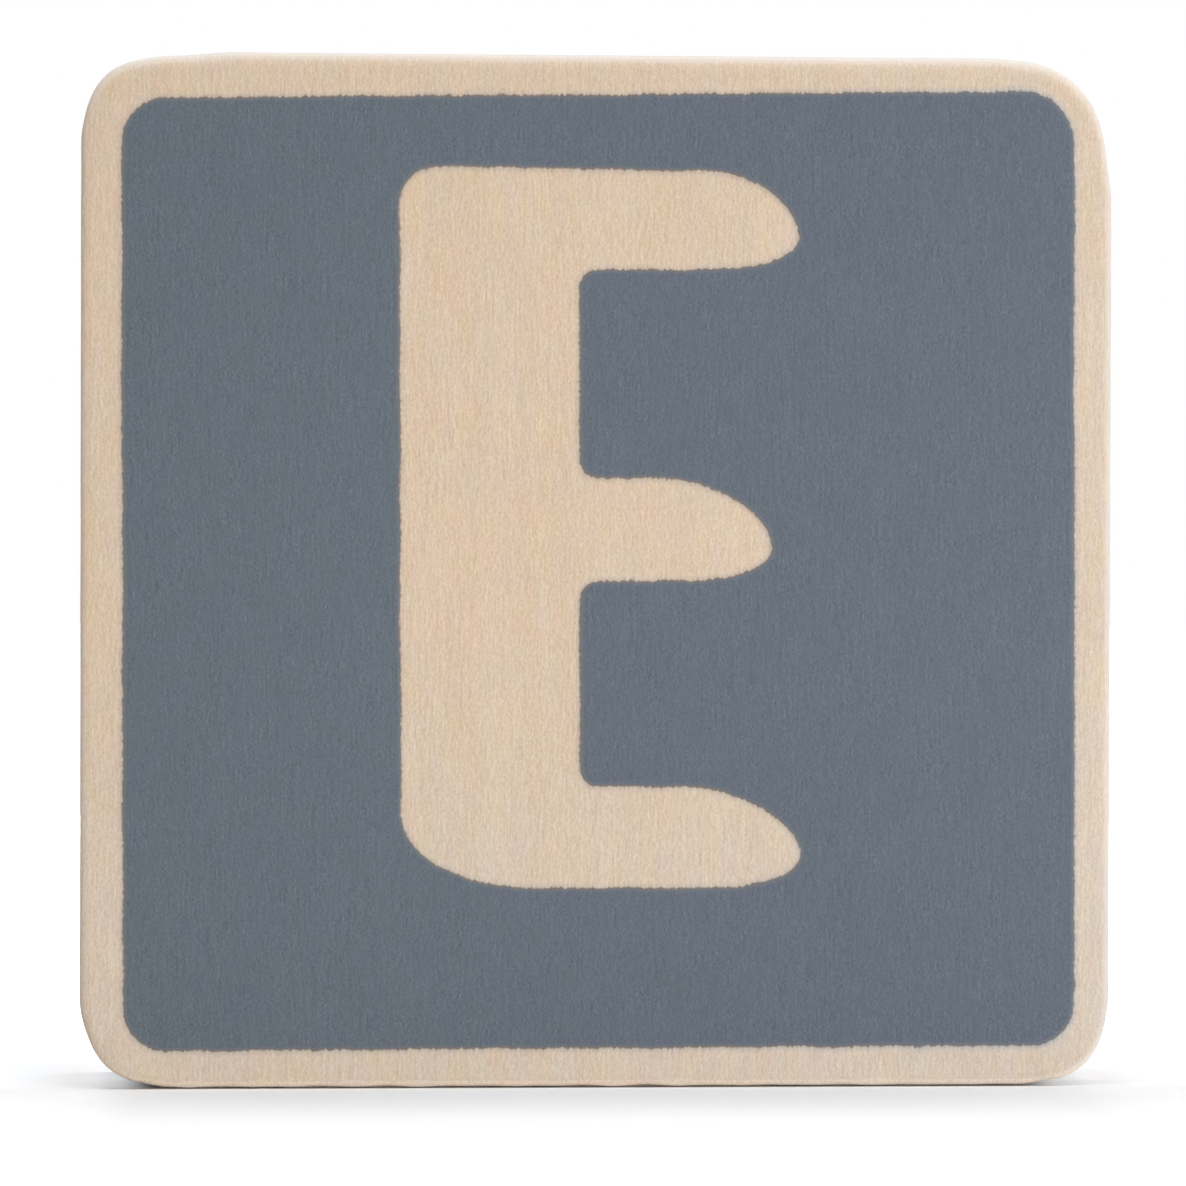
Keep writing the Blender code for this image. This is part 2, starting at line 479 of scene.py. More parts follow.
@dataclass(frozen=True)
class Wood:
    """Bare sanded veneer: fine flecks and strands, faint broad bands, and darker end grain."""

    name: str
    slot: str
    colour: Rgb
    dark: Rgb
    light: Rgb
    fibres: Fibres
    # The pale colour of the sanded rim, also a painted highlight where it faces up or right.
    rim: Rgb | None = None
    fuzz_share: float = 0.45
    fleck_share: float = 0.35
    strand_share: float = 0.25
    band_share: float = 0.16
    warmth: Tint = Tint((255, 252, 248), (252, 252, 255), 1.4 * MM, 4 * MM, 11.9)
    blush: Tint = Tint((255, 252, 254), (254, 255, 252), 0.9 * MM, 2.2 * MM, 17.3)
    # Whitening tint for the painted floor reflection below and the painted light on the right.
    pale: Triple = (0.97, 1.06, 1.19)
    painted_floor_veil: Slope = Slope(34 * MM, 8 * MM, 0.5)
    painted_light_veil: Slope = Slope(-5 * MM, 36 * MM, 0.4)
    end_grain: Rgb = (176, 146, 112)
    end_turn: Slope = Slope(0.75, 1.0, 0.8)
    end_depth: float = 0.5
    pore_size: float = 0.14 * MM
    pore_seed: float = 5.1
    pores: Slope = Slope(0.1, 0.3, 0.55)
    rim_turn: Slope = Slope(0.9995, 0.955)
    # Painted highlight: where the pale rim shows, by how far it faces up or to the right.
    highlight_side: Slope = Slope(-0.2, 0.8)
    highlight_on_right: float = 0.6
    rim_wood: float = 0.25
    # Painted light: faces turned down get floor bounce, faces turned up get top light.
    painted_bounce_below: Slope = Slope(-0.05, -0.45, 0.2)
    painted_light_above: Slope = Slope(0.02, 0.2, 0.038)
    fleck_relief: float = 0.6
    strand_relief: float = 0.8
    relief_height: float = 0.012 * MM
    relief_strength: float = 0.6
    roughness: float = 0.62
    fleck_roughness: float = 0.2
    specular: float = 0.2
    sheen: float = 0.6
    sheen_roughness: float = 0.4

    def material(self) -> bpy.types.Material:
        """Makes the material.

        Returns:
            The material.
        """
        made = bpy.data.materials.new(self.name)
        tree = ShaderTree(made)
        flecks = self.fibres.flecks(tree)
        strands = self.fibres.strands(tree)
        colour = self.cut_ends(tree, self.veneer(tree, flecks, strands))
        if self.rim:
            colour = self.sanded_rim_with_highlight(tree, colour)
        relief = MIDDLE + flecks * self.fleck_relief + strands * self.strand_relief
        tree.finish(
            {
                "Base Color": colour,
                "Roughness": self.roughness + flecks * self.fleck_roughness,
                "Normal": tree.bump(relief, self.relief_height, self.relief_strength),
                "Specular IOR Level": self.specular,
                "Sheen Weight": self.sheen,
                "Sheen Roughness": self.sheen_roughness,
            }
        )
        return made

    def veneer(self, tree: ShaderTree, flecks: Wire, strands: Wire) -> Wire:
        """Gives the colour of the veneer along its fibres.

        Args:
            tree: the tree that it is added to.
            flecks: the short flecks.
            strands: the long strands.

        Returns:
            The colour, a little paler below, as a painted reflection of the white floor, and on the right, as
            painted light.
        """
        tone = MIDDLE + self.fibres.fuzz(tree) * self.fuzz_share + flecks * self.fleck_share
        tone = tone + strands * self.strand_share + self.fibres.bands(tree) * self.band_share
        colour = tree.shades(tone, self.dark, self.colour, self.light)
        for tint in (self.warmth, self.blush):
            colour = tint.lay(tree, colour, tint.drift(tree, self.fibres))
        # Painted reflection of the white floor below, and painted light on the right.
        share = self.painted_floor_veil.at(tree.place(2)) + self.painted_light_veil.at(tree.place(0))
        return tree.mix(share, colour, tree.times(colour, self.pale))

    def cut_ends(self, tree: ShaderTree, colour: Wire) -> Wire:
        """Darkens a colour where the surface cuts across the fibres.

        Args:
            tree: the tree that it is added to.
            colour: the colour along the fibres.

        Returns:
            The colour with end grain.
        """
        pores = self.pores.at(tree.noise((self.pore_size,) * 3, self.fibres.seed + self.pore_seed))
        cut = tree.mix(pores, linear(self.end_grain), linear(self.dark))
        cut = tree.mix(self.end_depth, cut, colour, "MULTIPLY")
        turn = abs(tree.facing(self.fibres.grain.value))
        return tree.mix(self.end_turn.at(turn), colour, cut)

    def sanded_rim_with_highlight(self, tree: ShaderTree, colour: Wire) -> Wire:
        """Paints a highlight on the pale sanded rim, above and on the right, and light where the surface
        turns up or down.

        Args:
            tree: the tree that it is added to.
            colour: the face's colour.

        Returns:
            The colour with the pale rim, its painted highlight and the painted light.
        """
        # Painted highlight: the pale rim shows only where it faces up or to the right.
        upward = tree.facing(2)
        right = tree.facing(0) * self.highlight_on_right
        highlight_share = self.highlight_side.at(right.math("MAXIMUM", right, upward))
        turned = self.rim_turn.at(abs(tree.facing(1)))
        rim = tree.mix(self.rim_wood, linear(self.rim), colour)
        colour = tree.mix(turned * highlight_share, colour, rim)
        # Painted light: lighter where the surface turns down, as floor bounce, and where it turns up, as top
        # light.
        return tree.scale(colour, 1 + self.painted_bounce_below.at(upward) + self.painted_light_above.at(upward))


@dataclass(frozen=True)
class Ink:
    """Matt ink with a fine stipple, through which the fibres of the veneer show."""

    name: str
    slot: str
    colour: Rgb
    dark: Rgb
    light: Rgb
    fibres: Fibres
    stipple_width: float = 0.125 * MM
    stipple_length: float = 0.175 * MM
    stipple_seed: float = 3.3
    stipple_share: float = 0.6
    fleck_share: float = 0.28
    strand_share: float = 0.2
    patch_width: float = 1.3 * MM
    patch_length: float = 2.2 * MM
    patch_seed: float = 15.6
    patch_base: float = 0.8
    patches: Slope = Slope(-0.12, 0.16, 0.4)
    cloud_width: float = 3 * MM
    cloud_length: float = 5 * MM
    cloud_seed: float = 8.1
    cloud_share: float = 0.08
    hues: Tint = Tint((254, 255, 250), (255, 253, 255), 1.6 * MM, 2.4 * MM, 21.4)
    hue_contrast: float = 1.3
    second_hue: float = 0.1
    second_hue_slope: float = 0.01 / MM
    fleck_wear: float = 0.16
    thin_rim: Slope = Slope(0.0, 0.2)
    thinning: tuple[tuple[float, Rgb], ...] = (
        (0.02, (102, 108, 117)),
        (0.085, (104, 109, 116)),
        (0.15, (107, 110, 115)),
        (0.22, (112, 111, 114)),
        (0.29, (118, 115, 115)),
        (0.36, (123, 119, 118)),
        (0.42, (135, 134, 134)),
        (0.5, (200, 203, 206)),
        (1.0, (222, 225, 228)),
    )
    right_side: Slope = Slope(5 * MM, 30 * MM)
    cool: Triple = (0.95, 1.02, 1.1)
    fading: Slope = Slope(0.175, 0.535)
    halo: float = 0.14
    right_halo: float = 0.16
    halo_fading: Slope = Slope(0.5, 1.0)
    stipple_relief: float = 0.7
    fleck_relief: float = 0.4
    strand_relief: float = 0.7
    relief_height: float = 0.02 * MM
    relief_strength: float = 0.6
    roughness: float = 0.65
    stipple_roughness: float = 0.25
    specular: float = 0.1

    def material(self) -> bpy.types.Material:
        """Makes the material.

        Returns:
            The material.
        """
        made = bpy.data.materials.new(self.name)
        tree = ShaderTree(made)
        flecks = self.fibres.flecks(tree)
        strands = self.fibres.strands(tree)
        stipple_cell = self.fibres.grain.cell(self.stipple_width, self.stipple_length)
        stipple = self.fibres.crisp(tree, stipple_cell, self.stipple_seed)
        patch_cell = self.fibres.grain.cell(self.patch_width, self.patch_length)
        strength = self.patch_base + self.patches.at(tree.noise(patch_cell, self.patch_seed, detail=1.0))
        marks = stipple * self.stipple_share + flecks * self.fleck_share + strands * self.strand_share
        relief = stipple * self.stipple_relief + flecks * self.fleck_relief + strands * self.strand_relief
        edge = tree.add("ShaderNodeAttribute", {"attribute_name": PrintedPanel.RIM}, {}, "Fac")
        worn = edge + flecks * self.fleck_wear
        thin = self.thin_rim.at(edge)
        tree.finish(
            {
                "Base Color": tree.mix(thin, self.coat(tree, marks * strength), self.edging(tree, worn)),
                "Alpha": self.cover(tree, worn),
                "Roughness": self.roughness + stipple * self.stipple_roughness,
                "Normal": tree.bump(MIDDLE + relief * strength, self.relief_height, self.relief_strength),
                "Specular IOR Level": self.specular,
            }
        )
        return made

    def coat(self, tree: ShaderTree, marks: Wire) -> Wire:
        """Gives the colour of the full ink.

        Args:
            tree: the tree that it is added to.
            marks: the fine marks in it, about 0.

        Returns:
            The colour, which leans to the second hue on the right.
        """
        cloud_cell = self.fibres.grain.cell(self.cloud_width, self.cloud_length)
        clouds = tree.noise(cloud_cell, self.cloud_seed, detail=1.0)
        tone = MIDDLE + marks + clouds * self.cloud_share
        colour = tree.shades(tone, self.dark, self.colour, self.light)
        lean = tree.place(0) * self.second_hue_slope + self.second_hue
        return self.hues.lay(tree, colour, self.hues.drift(tree, self.fibres) * self.hue_contrast + lean)

    def edging(self, tree: ShaderTree, worn: Wire) -> Wire:
        """Gives the colour of the thin ink at the edge.

        Args:
            tree: the tree that it is added to.
            worn: how far out a point lies in the rim, frayed by the flecks.

        Returns:
            The colour, which is cooler on the right.
        """
        colour = tree.ramp(worn, self.thinning)
        return tree.mix(self.right_side.at(tree.place(0)), colour, tree.times(colour, self.cool))

    def cover(self, tree: ShaderTree, worn: Wire) -> Wire:
        """Says how much of the wood the ink covers.

        Args:
            tree: the tree that it is added to.
            worn: how far out a point lies in the rim, frayed by the flecks.

        Returns:
            From 1 for full ink to 0, over a pale halo that is stronger on the right.
        """
        halo = self.halo + self.right_side.at(tree.place(0)) * self.right_halo
        return 1 - self.fading.at(worn) * (1 - halo) - self.halo_fading.at(worn) * halo


@dataclass(frozen=True)
class Glue:
    """Cured glue between two veneers, uneven along the edge."""

    name: str
    slot: str
    colour: Rgb
    dark: Rgb
    light: Rgb
    bead_cell: Triple = (0.5 * MM, 2.0 * MM, 0.5 * MM)
    bead_seed: float = 4.4
    bead_share: float = 0.8
    run_cell: Triple = (4 * MM, 1.0 * MM, 4 * MM)
    run_seed: float = 9.2
    run_share: float = 0.9
    roughness: float = 0.45
    bead_roughness: float = 0.3

    def material(self) -> bpy.types.Material:
        """Makes the material.

        Returns:
            The material.
        """
        made = bpy.data.materials.new(self.name)
        tree = ShaderTree(made)
        beads = tree.noise(self.bead_cell, self.bead_seed, detail=2.0)
        runs = tree.noise(self.run_cell, self.run_seed, detail=1.0)
        tone = MIDDLE + beads * self.bead_share + runs * self.run_share
        colour = tree.shades(tone, self.dark, self.colour, self.light)
        roughness = self.roughness + beads * self.bead_roughness
        tree.finish({"Base Color": colour, "Roughness": roughness})
        return made


def add_piece(name: str, node: str, shape: BMesh, material: bpy.types.Material) -> None:
    """Turns a bmesh into a piece that rides on the tile in place of a solid, and frees the bmesh.

    Args:
        name: the piece's name.
        node: the solid that it stands for.
        shape: its form, in place.
        material: its finish.
    """
    mesh = bpy.data.meshes.new(name)
    shape.to_mesh(mesh)
    shape.free()
    mesh.shade_smooth()
    mesh.set_sharp_from_angle(angle=SHARP_ANGLE)
    mesh.materials.append(material)
    piece = bpy.data.objects.new(name, mesh)
    bpy.context.scene.collection.objects.link(piece)
    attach(piece, ROOT)
    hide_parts(node)
    log.info("%s: %d faces", name, len(mesh.polygons))


def wobble(place: Vector) -> float:
    """Smooth noise from 0 to 1."""
    return (1 + noise.noise(place)) / 2


@dataclass(frozen=True)
class Spot:
    """A stretch of the outline that was sanded more, or less, than the rest."""

    x: float
    z: float
    radius: float
    growth: float

    def shift(self, place: Vector) -> float:
        """How much further out the outline lies at a place."""
        nearness = 1 - ((place.x - self.x) ** 2 + (place.z - self.z) ** 2) / self.radius**2
        return self.growth * max(nearness, 0) ** 2


@dataclass
class Blank:
    """The plywood blank: veneers with sanded, slightly uneven edges, and the glue lines between them."""

    corner_radius: float = 6.2 * MM
    ease: float = 0.5 * MM
    ease_width: float = 0.95 * MM
    top_ease_width: float = 1.6 * MM
    ease_fullness: float = 2.5
    corner_segments: int = 24
    ease_segments: int = 12
    edge_cuts: int = 95
    waviness: float = 0.03 * MM
    wave_length: float = 5.0 * MM
    ply_wear: float = 0.02 * MM
    rub: float = 0.2 * MM
    rub_length: float = 2.2 * MM
    rub_seed: float = 9
    spots: tuple[Spot, ...] = (
        Spot(-29.2 * MM, 70.0 * MM, 4.6 * MM, -0.27 * MM),
        Spot(-33.3 * MM, 68.2 * MM, 3.6 * MM, 0.26 * MM),
        Spot(34.9 * MM, 65.8 * MM, 5.8 * MM, -0.55 * MM),
        Spot(31.0 * MM, 69.8 * MM, 4.5 * MM, -0.28 * MM),
        Spot(33.2 * MM, 1.8 * MM, 3.8 * MM, 0.36 * MM),
        Spot(-33.0 * MM, 1.7 * MM, 3.0 * MM, 0.22 * MM),
    )
    ply_seed: float = 13.7
    face_shades: Shades = ((207, 187, 164), (181, 155, 126), (227, 212, 192))
    # Pale sanded rim colour, which also carries a painted highlight above and on the right.
    face_rim_and_highlight: Rgb = (230, 225, 221)
    long_shades: Shades = ((212, 189, 161), (186, 157, 124), (230, 211, 186))
    cross_shades: Shades = ((204, 179, 149), (172, 143, 110), (222, 201, 174))
    glue_shades: Shades = ((126, 92, 62), (84, 58, 38), (170, 132, 94))

    def veneer_nodes(self) -> list[str]:
        """The veneers' nodes from front to back."""
        veneers = [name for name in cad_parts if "veneer" in name or "ply" in name]
        return sorted(veneers, key=lambda name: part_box(name)[0].y)

    def glue_nodes(self) -> list[str]:
        """The glue lines' nodes."""
        return sorted(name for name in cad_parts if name.startswith("glue"))

    def wood_of(self, number: int, last: int) -> Wood:
        """Gives the wood of a veneer.

        Args:
            number: its place from the front, from 0.
            last: the place of the back face.

        Returns:
            Its finish.
        """
        grain = Grain.SIDEWAYS if number % 2 else Grain.UPRIGHT
        fibres = Fibres(grain, seed=self.ply_seed * number)
        if number in (0, last):
            return Wood(f"sanded_face_{number}", "face_veneer", *self.face_shades, fibres, rim=self.face_rim_and_highlight)
        if grain is Grain.UPRIGHT:
            return Wood(f"long_grain_{number}", "long_grain_ply", *self.long_shades, fibres)
        return Wood(f"cross_grain_{number}", "cross_grain_ply", *self.cross_shades, fibres)

    def build(self) -> None:
        """Makes the veneers and the glue lines again."""
        veneers = self.veneer_nodes()
        last = len(veneers) - 1
        for number, node in enumerate(veneers):
            wood = self.wood_of(number, last)
            plate = self.plate(node, ease_front=number == 0, ease_back=number == last)
            self.sand(plate, worn=number % 2 == 1, rubbed=number in (0, last))
            add_piece(f"{node}_sanded", node, plate, wood.material())
        self.lay_glue()

    def lay_glue(self) -> None:
        """Makes the glue lines again, which follow the edges of the worn veneers."""
        glue = Glue("amber_glue", "cured_glue", *self.glue_shades)
        material = glue.material()
        for node in self.glue_nodes():
            line = self.plate(node, ease_front=False, ease_back=False)
            self.sand(line, worn=True, rubbed=False)
            add_piece(f"{node}_sanded", node, line, material)

    def plate(self, node: str, ease_front: bool, ease_back: bool) -> BMesh:
        """Makes a plate with round corners.

        Args:
            node: the solid that it stands for.
            ease_front: whether the rim of its front is rounded.
            ease_back: whether the rim of its back is rounded.

        Returns:
            The plate, in place.
        """
        low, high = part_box(node)
        plate = bmesh.new()
        bmesh.ops.create_cube(plate, size=1.0)
        bmesh.ops.scale(plate, verts=plate.verts, vec=high - low)
        bmesh.ops.translate(plate, verts=plate.verts, vec=(high + low) / 2)
        corners = [edge for edge in plate.edges if edge.verts[0].co.xz == edge.verts[1].co.xz]
        self.round_edges(plate, corners, self.corner_radius, self.corner_segments)
        straight = [edge for edge in plate.edges if edge.calc_length() > self.corner_radius]
        bmesh.ops.subdivide_edges(plate, edges=straight, cuts=self.edge_cuts, use_grid_fill=True)
        for eased, y in ((ease_front, low.y), (ease_back, high.y)):
            rim = [edge for edge in plate.edges if all(abs(v.co.y - y) < MERGE for v in edge.verts)]
            if eased:
                self.round_edges(plate, rim, self.ease, self.ease_segments)
                self.soften(plate, y)
        return plate

    @staticmethod
    def round_edges(shape: BMesh, edges: list[BMEdge], radius: float, segments: int) -> None:
        """Rounds edges.

        Args:
            shape: the bmesh that has them.
            edges: the edges.
            radius: how wide the rounding is.
            segments: its facets.
        """
        bmesh.ops.bevel(
            shape,
            geom=edges,
            offset=radius,
            offset_type="OFFSET",
            segments=segments,
            profile=0.5,
            affect="EDGES",
            material=-1,
        )

    def outward(self, place: Vector) -> Vector:
        """Says how far, and which way, a point lies outside the middles of the four corner rounds.

        Args:
            place: the point.

        Returns:
            A vector in the plane of the face: as long as the corner radius on the outline, zero well inside.
        """
        low, high = CAD_BOX
        inset = self.corner_radius
        x = place.x - min(max(place.x, low.x + inset), high.x - inset)
        z = place.z - min(max(place.z, low.z + inset), high.z - inset)
        return Vector((x, 0, z))

    def soften(self, plate: BMesh, face_y: float) -> None:
        """Turns a round rim into one that starts slowly on the face, as sandpaper leaves it.

        Args:
            plate: the plate.
            face_y: where the face with that rim lies.
        """
        power = 2 / self.ease_fullness
        towards_middle = math.copysign(1, CAD_BOX[0].y + CAD_BOX[1].y - face_y)
        for vertex in plate.verts:
            out = self.outward(vertex.co)
            inside = self.corner_radius - out.length
            drop = abs(vertex.co.y - face_y)
            if inside > self.ease + MERGE or drop > self.ease + MERGE:
                continue
            turn = math.atan2(max(self.ease - inside, 0), max(self.ease - drop, 0))
            upward = max(out.normalized().z, 0) ** 2
            width = self.ease_width + (self.top_ease_width - self.ease_width) * upward
            inside_soft = width * (1 - math.sin(turn) ** power)
            drop_soft = self.ease * (1 - max(math.cos(turn), 0) ** power)
            vertex.co -= out.normalized() * (inside_soft - inside)
            vertex.co.y = face_y + towards_middle * drop_soft

    def sand(self, plate: BMesh, worn: bool, rubbed: bool) -> None:
        """Moves the edges of a plate in slow waves, by its own wear and at the spots.

        Args:
            plate: the plate.
            worn: whether it is worn a little further in than the others.
            rubbed: whether its bottom edge is rubbed unevenly.
        """
        low, high = CAD_BOX
        wear = self.ply_wear if worn else 0.0
        for vertex in plate.verts:
            out = self.outward(vertex.co)
            if out.length < self.corner_radius / 2:
                continue
            wave = self.waviness * wobble(vertex.co / self.wave_length)
            growth = sum(spot.shift(vertex.co) for spot in self.spots)
            vertex.co += out.normalized() * (growth - wave - wear)
            vertex.co.x = min(max(vertex.co.x, low.x), high.x)
            vertex.co.z = min(max(vertex.co.z, low.z), high.z)
            if rubbed and vertex.co.z < self.ease:
                along = Vector((vertex.co.x / self.rub_length, 0, self.rub_seed))
                vertex.co.z += self.rub * wobble(along)


@dataclass
class PrintedPanel:
    """The print: a film of ink with the letter left open, whose edges follow the fibres raggedly."""

    RIM: ClassVar[str] = "rim"
    CLEAR: ClassVar[float] = 2.0  # on the film's underside, so that the thin rim darkens the wood once

    node: str = "printed_panel"
    shades: Shades = ((96, 104, 114), (75, 82, 90), (117, 126, 138))
    step: float = 0.09 * MM
    front_turn: float = 0.9
    rim_width: float = 0.76 * MM
    rim_drop: float = 0.06 * MM
    bleed: float = 0.44 * MM
    tooth: float = 0.14 * MM
    tooth_width: float = 0.16 * MM
    tooth_length: float = 1.28 * MM
    tooth_seed: float = 0.5
    swell: float = 0.08 * MM
    swell_length: float = 2.4 * MM
    swell_seed: float = 7.3
    drift: float = 0.085 * MM
    drift_length: float = 0.22 * MM
    drift_seed: float = 3.1
    border: float = 4.0 * MM
    shortfall: float = 0.09 * MM

    def build(self) -> None:
        """Makes the film and dresses it."""
        low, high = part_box(self.node)
        film = self.outline()
        inward = self.inward_of(film)
        self.fray_edges(inward, low, high)
        self.fill(film, inward)
        self.thicken(film, inward, high.y - low.y)
        ink = Ink("blue_grey_ink", "matt_ink", *self.shades, Fibres(Grain.UPRIGHT, seed=0.0))
        add_piece("printed_film", self.node, film, ink.material())

    def outline(self) -> BMesh:
        """Takes the outlines of the solid's front, cut into short steps.

        Returns:
            The outer outline and the letter's, as edges alone.
        """
        film = bmesh.new()
        film.from_mesh(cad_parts[self.node].data)
        film.verts.layers.float.new(self.RIM)
        bmesh.ops.remove_doubles(film, verts=film.verts, dist=MERGE)
        film.normal_update()
        front = {face for face in film.faces if -face.normal.y > self.front_turn}
        kept = {edge for edge in film.edges if len(front & set(edge.link_faces)) == 1}
        bmesh.ops.delete(film, geom=film.faces[:], context="FACES_ONLY")
        loose = [edge for edge in film.edges if edge not in kept]
        bmesh.ops.delete(film, geom=loose, context="EDGES")
        by_cuts: dict[int, list[BMEdge]] = {}
        for edge in film.edges:
            by_cuts.setdefault(math.ceil(edge.calc_length() / self.step) - 1, []).append(edge)
        for cuts, edges in by_cuts.items():
            if cuts:
                bmesh.ops.subdivide_edges(film, edges=edges, cuts=cuts)
        return film

    @staticmethod
    def walk(start: BMVert) -> list[BMVert]:
        """Follows a closed outline.

        Args:
            start: a point of it.

        Returns:
            Its points in order.
        """
        loop = [start]
        edge = start.link_edges[0]
        while (point := edge.other_vert(loop[-1])) is not start:
            loop.append(point)
            edge = next(other for other in point.link_edges if other is not edge)
        return loop

    def inward_of(self, film: BMesh) -> Ways:
        """Finds at each point of the outlines which way the film lies.

        Args:
            film: the outlines.

        Returns:
            A unit vector for each point.
        """
        loops = []
        left = set(film.verts)
        while left:
            loop = self.walk(min(left, key=lambda vertex: vertex.index))
            left -= set(loop)
            pairs = zip(loop, loop[1:] + loop[:1])
            area = sum(a.co.x * b.co.z - b.co.x * a.co.z for a, b in pairs) / 2
            loops.append((abs(area), math.copysign(1, area), loop))
        largest = max(area for area, _, _ in loops)
        inward = {}
        for area, turn, loop in loops:
            side = turn if area == largest else -turn
            for before, point, after in zip(loop[-1:] + loop[:-1], loop, loop[1:] + loop[:1]):
                along = (after.co - before.co).normalized()
                inward[point] = Vector((-along.z, 0, along.x)) * side
        return inward

    def fray_edges(self, inward: Ways, low: Vector, high: Vector) -> None:
        """Moves the outlines to where the ragged ink ends, which on the outer one is a little short.

        Args:
            inward: the points, and which way the film lies at each.
            low: the low corner of the solid's box.
            high: the high corner of it.
        """
        for vertex, normal in inward.items():
            x, _, z = vertex.co
            margin = min(x - low.x, high.x - x, z - low.z, high.z - z)
            shortfall = self.shortfall if margin < self.border else 0.0
            vertex.co += self.fray(vertex.co, normal) + normal * shortfall

    def fray(self, place: Vector, normal: Vector) -> Vector:
        """Says how far the ink strays from its outline.

        Args:
            place: a point of the outline.
            normal: the way that the film lies there.

        Returns:
            The shift: teeth along the upright fibres, slow swells, and a slight drift sideways.
        """
        tooth = self.wave(place, self.tooth_width, self.tooth_length, self.tooth_seed)
        swell = self.wave(place, self.swell_length, self.swell_length, self.swell_seed)
        drift = self.wave(place, self.drift_length, self.drift_length, self.drift_seed)
        sideways = normal.x * abs(normal.x) * self.drift * (drift + swell)
        upright = normal.z * abs(normal.z) * (self.tooth * tooth + self.swell * swell)
        return Vector((sideways, 0, upright))

    @staticmethod
    def wave(place: Vector, width: float, length: float, seed: float) -> float:
        """Smooth noise about 0, of that width sideways and that length upright."""
        return noise.noise(Vector((place.x / width, seed, place.z / length)))

    def fill(self, film: BMesh, inward: Ways) -> None:
        """Adds the rim and the sheet inside it.

        Args:
            film: the outlines.
            inward: their points, and which way the film lies at each.
        """
        rim = film.verts.layers.float[self.RIM]
        outer = set(inward)
        bmesh.ops.extrude_edge_only(film, edges=film.edges[:])
        for edge in film.edges[:]:
            first, second = edge.verts
            if (first in outer) != (second in outer):
                old, new = (first, second) if first in outer else (second, first)
                new.co = old.co + inward[old] * (self.rim_width - self.bleed)
        inner_edges = [edge for edge in film.edges if not outer & set(edge.verts)]
        bmesh.ops.triangle_fill(film, use_beauty=True, edges=inner_edges, normal=(0, -1, 0))
        for vertex, normal in inward.items():
            vertex[rim] = 1.0
            vertex.co -= normal * self.bleed

    def thicken(self, film: BMesh, inward: Ways, thickness: float) -> None:
        """Turns the sheet into a closed film that is thinner at its edges.

        Args:
            film: the sheet.
            inward: the points of its edges, and which way the film lies at each.
            thickness: the film's.
        """
        rim = film.verts.layers.float[self.RIM]
        swept = bmesh.ops.extrude_face_region(film, geom=film.faces[:])["geom"]
        back = [item for item in swept if isinstance(item, BMVert)]
        bmesh.ops.translate(film, verts=back, vec=(0, thickness, 0))
        for vertex in back:
            vertex[rim] = self.CLEAR
        bmesh.ops.translate(film, verts=list(inward), vec=(0, self.rim_drop, 0))
        bmesh.ops.recalc_face_normals(film, faces=film.faces)


